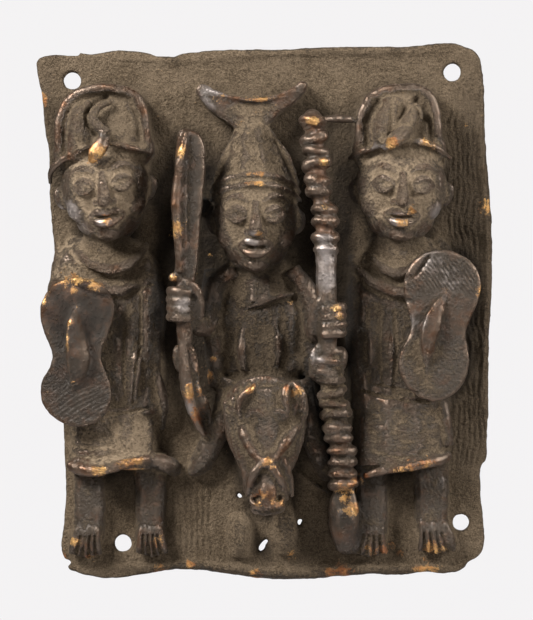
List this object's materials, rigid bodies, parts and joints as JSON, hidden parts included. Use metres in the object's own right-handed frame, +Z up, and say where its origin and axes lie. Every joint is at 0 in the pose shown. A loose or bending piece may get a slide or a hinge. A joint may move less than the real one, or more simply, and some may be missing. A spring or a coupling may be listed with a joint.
{
  "type": "cast relief plaque",
  "caption": "Small cast brass relief wall plaque with a horse rider between two standing attendants holding shields, a club and a ringed staff.",
  "frame": {"origin": "centre of the flat back face, where the plaque lies against a wall", "axes": "+Z up, +X to the viewer's right, the relief faces -Y and the wall is on the +Y side"},
  "size_m": [0.1713, 0.0279, 0.2017],
  "materials": {
    "patinated_brass": "dark brown patina with matte soil in the hollows and worn bright edges"
  },
  "bodies": {
    "root": {"plaque": "patinated_brass"}
  },
  "joints": []
}
